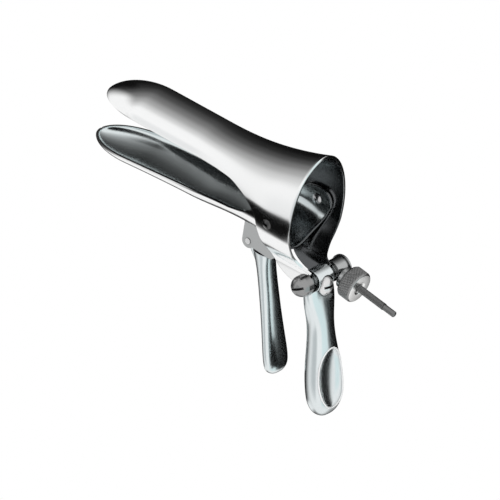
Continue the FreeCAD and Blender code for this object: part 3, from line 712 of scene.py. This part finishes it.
def make_camera():
    data = bpy.data.cameras.new("camera")
    camera = bpy.data.objects.new("camera", data)
    bpy.context.scene.collection.objects.link(camera)
    across = PICTURE / PIXELS_PER_MM * MM
    right, down = (PICTURE / 2 - pixel for pixel in ORIGIN_PIXEL)
    centre = (RIGHT * right - UP * down) / PIXELS_PER_MM * MM
    matrix = Matrix((RIGHT, UP, BACK)).transposed().to_4x4()
    matrix.translation = centre + BACK * DISTANCE
    camera.matrix_world = matrix
    data.sensor_width = SENSOR
    data.lens = SENSOR * DISTANCE / across
    data.clip_end = 50
    bpy.context.scene.camera = camera


def toward(azimuth, elevation):
    a, e = math.radians(azimuth), math.radians(elevation)
    return Vector((math.cos(a) * math.cos(e), math.sin(a) * math.cos(e), math.sin(e)))


# The studio round the object. The wall on the rod's side is black and rises through grey to a
# white ceiling and a white room on the other side: degrees from its middle, brightness.
DARK_WALL = (145, -10)
WALL_RAMP = [(18, 0.005), (33, 0.019), (45, 0.065), (57, 0.175), (69, 0.38), (79, 0.66), (86, 0.97),
             (180, 1.0)]
# Soft panels: azimuth, elevation, half width, half height, edge, colour
PANELS = [
    (76, -14, 38, 20, 8, (0.004, 0.004, 0.004)),
    (12, -12, 24, 24, 14, (0.80, 0.92, 0.93)),
    (-165, -57, 22, 10, 8, (0.95, 0.95, 0.95)),
    (-95, -5, 24, 24, 20, (0.60, 0.62, 0.63)),
]


def make_world():
    world = bpy.data.worlds.new("studio")
    bpy.context.scene.world = world
    world.use_nodes = True
    nodes, links = world.node_tree.nodes, world.node_tree.links
    back = nodes["Background"]
    coords = nodes.new("ShaderNodeTexCoord")

    def maths(operation, *inputs):
        node = nodes.new("ShaderNodeMath")
        node.operation = operation
        for k, v in enumerate(inputs):
            if isinstance(v, (int, float)):
                node.inputs[k].default_value = v
            else:
                links.new(v, node.inputs[k])
        return node.outputs[0]

    def dot(axis):
        node = nodes.new("ShaderNodeVectorMath")
        node.operation = "DOT_PRODUCT"
        links.new(coords.outputs["Generated"], node.inputs[0])
        node.inputs[1].default_value = axis
        return node.outputs["Value"]

    angle = maths("ARCCOSINE", dot(toward(*DARK_WALL)))
    ramp = nodes.new("ShaderNodeValToRGB")
    ramp.color_ramp.interpolation = "EASE"
    links.new(maths("DIVIDE", angle, math.pi), ramp.inputs["Fac"])
    stops = ramp.color_ramp.elements
    for k, (degrees, level) in enumerate(WALL_RAMP):
        stop = stops[k] if k < 2 else stops.new(degrees / 180)
        stop.position = degrees / 180
        stop.color = (level, level, level, 1)
    value = ramp.outputs["Color"]
    for azimuth, elevation, wide, high, edge, colour in PANELS:
        middle = toward(azimuth, elevation)
        side = Vector((0, 0, 1)).cross(middle).normalized()
        up = middle.cross(side)
        ahead = dot(middle)
        masks = []
        for axis, half in ((side, wide), (up, high)):
            off = maths("ABSOLUTE", maths("ARCTAN2", dot(axis), ahead))
            inner, outer = math.radians(half - edge / 2), math.radians(half + edge / 2)
            node = nodes.new("ShaderNodeMapRange")
            node.interpolation_type = "SMOOTHSTEP"
            links.new(off, node.inputs["Value"])
            node.inputs["From Min"].default_value = inner
            node.inputs["From Max"].default_value = outer
            node.inputs["To Min"].default_value = 1.0
            node.inputs["To Max"].default_value = 0.0
            masks.append(node.outputs["Result"])
        mask = maths("MULTIPLY", *masks)
        blend = nodes.new("ShaderNodeMix")
        blend.data_type = "RGBA"
        links.new(mask, blend.inputs["Factor"])
        links.new(value, blend.inputs["A"])
        blend.inputs["B"].default_value = (*colour, 1)
        value = blend.outputs["Result"]
    path = nodes.new("ShaderNodeLightPath")
    plain = nodes.new("ShaderNodeMix")
    plain.data_type = "RGBA"
    links.new(path.outputs["Is Camera Ray"], plain.inputs["Factor"])
    links.new(value, plain.inputs["A"])
    plain.inputs["B"].default_value = (1, 1, 1, 1)
    links.new(plain.outputs["Result"], back.inputs["Color"])
    back.inputs["Strength"].default_value = 1.0


def make_floor():
    """A pale floor: white to the camera, and open to the studio's own reflections and from below."""
    far = FLOOR_HALF
    corners = [(-far, -far, 0), (far, -far, 0), (far, far, 0), (-far, far, 0)]
    floor = link("floor", corners, [(0, 1, 2, 3)], 1.0)
    floor.location.z = FLOOR_Z
    mat = bpy.data.materials.new("floor_white")
    mat.use_nodes = True
    nodes, links = mat.node_tree.nodes, mat.node_tree.links
    shader = nodes["Principled BSDF"]
    shader.inputs["Base Color"].default_value = (0.8, 0.8, 0.8, 1)
    shader.inputs["Roughness"].default_value = 0.9
    glow = nodes.new("ShaderNodeEmission")
    glow.inputs["Color"].default_value = (1, 1, 1, 1)
    path = nodes.new("ShaderNodeLightPath")
    seen = nodes.new("ShaderNodeMixShader")
    links.new(path.outputs["Is Camera Ray"], seen.inputs["Fac"])
    links.new(shader.outputs["BSDF"], seen.inputs[1])
    links.new(glow.outputs["Emission"], seen.inputs[2])
    open_up = nodes.new("ShaderNodeBsdfTransparent")
    underneath = nodes.new("ShaderNodeNewGeometry")
    either = nodes.new("ShaderNodeMath")
    either.operation = "MAXIMUM"
    links.new(path.outputs["Is Glossy Ray"], either.inputs[0])
    links.new(underneath.outputs["Backfacing"], either.inputs[1])
    mirrored = nodes.new("ShaderNodeMixShader")
    links.new(either.outputs[0], mirrored.inputs["Fac"])
    links.new(seen.outputs["Shader"], mirrored.inputs[1])
    links.new(open_up.outputs["BSDF"], mirrored.inputs[2])
    links.new(mirrored.outputs["Shader"], nodes["Material Output"].inputs["Surface"])
    dress(floor, mat)


def card(name, corners, colour, soft):
    """A flat studio card that only shows in reflections. Its cover fades out towards its edges.

    The corners go round from the first (u, v) corner; soft holds the shares of the fade at the
    start and the end of u and of v.
    """
    steps = 40
    a, b, c, d = (Vector(p) for p in corners)
    verts, covers = [], []
    for r in range(steps + 1):
        for k in range(steps + 1):
            u, v = k / steps, r / steps
            verts.append(tuple(a.lerp(b, u).lerp(d.lerp(c, u), v)))
            cover = 1.0
            for share, width in zip((u, 1 - u, v, 1 - v), soft):
                cover *= smooth(share / width) if width else 1.0
            covers.append(cover)
    obj = link(name, verts, grid_faces(steps + 1, steps + 1))
    cover = obj.data.attributes.new("cover", "FLOAT", "POINT")
    cover.data.foreach_set("value", covers)
    mat = bpy.data.materials.new(name)
    mat.use_nodes = True
    nodes, links = mat.node_tree.nodes, mat.node_tree.links
    glow = nodes.new("ShaderNodeEmission")
    glow.inputs["Color"].default_value = (*colour, 1)
    clear = nodes.new("ShaderNodeBsdfTransparent")
    attribute = nodes.new("ShaderNodeAttribute")
    attribute.attribute_name = "cover"
    blend = nodes.new("ShaderNodeMixShader")
    links.new(attribute.outputs["Fac"], blend.inputs["Fac"])
    links.new(clear.outputs["BSDF"], blend.inputs[1])
    links.new(glow.outputs["Emission"], blend.inputs[2])
    links.new(blend.outputs["Shader"], nodes["Material Output"].inputs["Surface"])
    dress(obj, mat)
    obj.visible_camera = False
    obj.visible_shadow = False
    obj.visible_diffuse = False


def upright(name, y, low, high, colour, soft=(0.1, 0.1, 0.1, 0.1)):
    """A card square to the y axis, between two (x, z) corners."""
    (x0, z0), (x1, z1) = low, high
    card(name, [(x0, y, z0), (x1, y, z0), (x1, y, z1), (x0, y, z1)], colour, soft)


make_camera()
make_world()
make_floor()
BLACK, WHITE = (0.004, 0.004, 0.004), (0.95, 0.95, 0.95)
card("card_tip_dark", [(-118, 6, 8), (-118, 24, 8), (-118, 24, 44), (-118, 6, 44)], BLACK,
     (0.3, 0.3, 0.2, 0.5))
card("card_band", [(-72, -90, -24), (6, -90, -24), (6, -24, -24), (-72, -24, -24)], BLACK,
     (0.16, 0.16, 0.16, 0.16))
upright("card_recess_dark", 20, (30, -90), (66, -67), BLACK, (0.05, 0.35, 0.05, 0.1))
upright("card_recess_light", 20.5, (57, -92), (114, -66), WHITE, (0.1, 0.2, 0.1, 0.05))
card("card_tip", [(-140, -80, -25), (-140, 22, -25), (-140, 8, 85), (-140, -80, 85)], WHITE,
     (0.1, 0.34, 0.05, 0.35))

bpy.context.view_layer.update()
scene = bpy.context.scene
scene.view_settings.view_transform = "Standard"
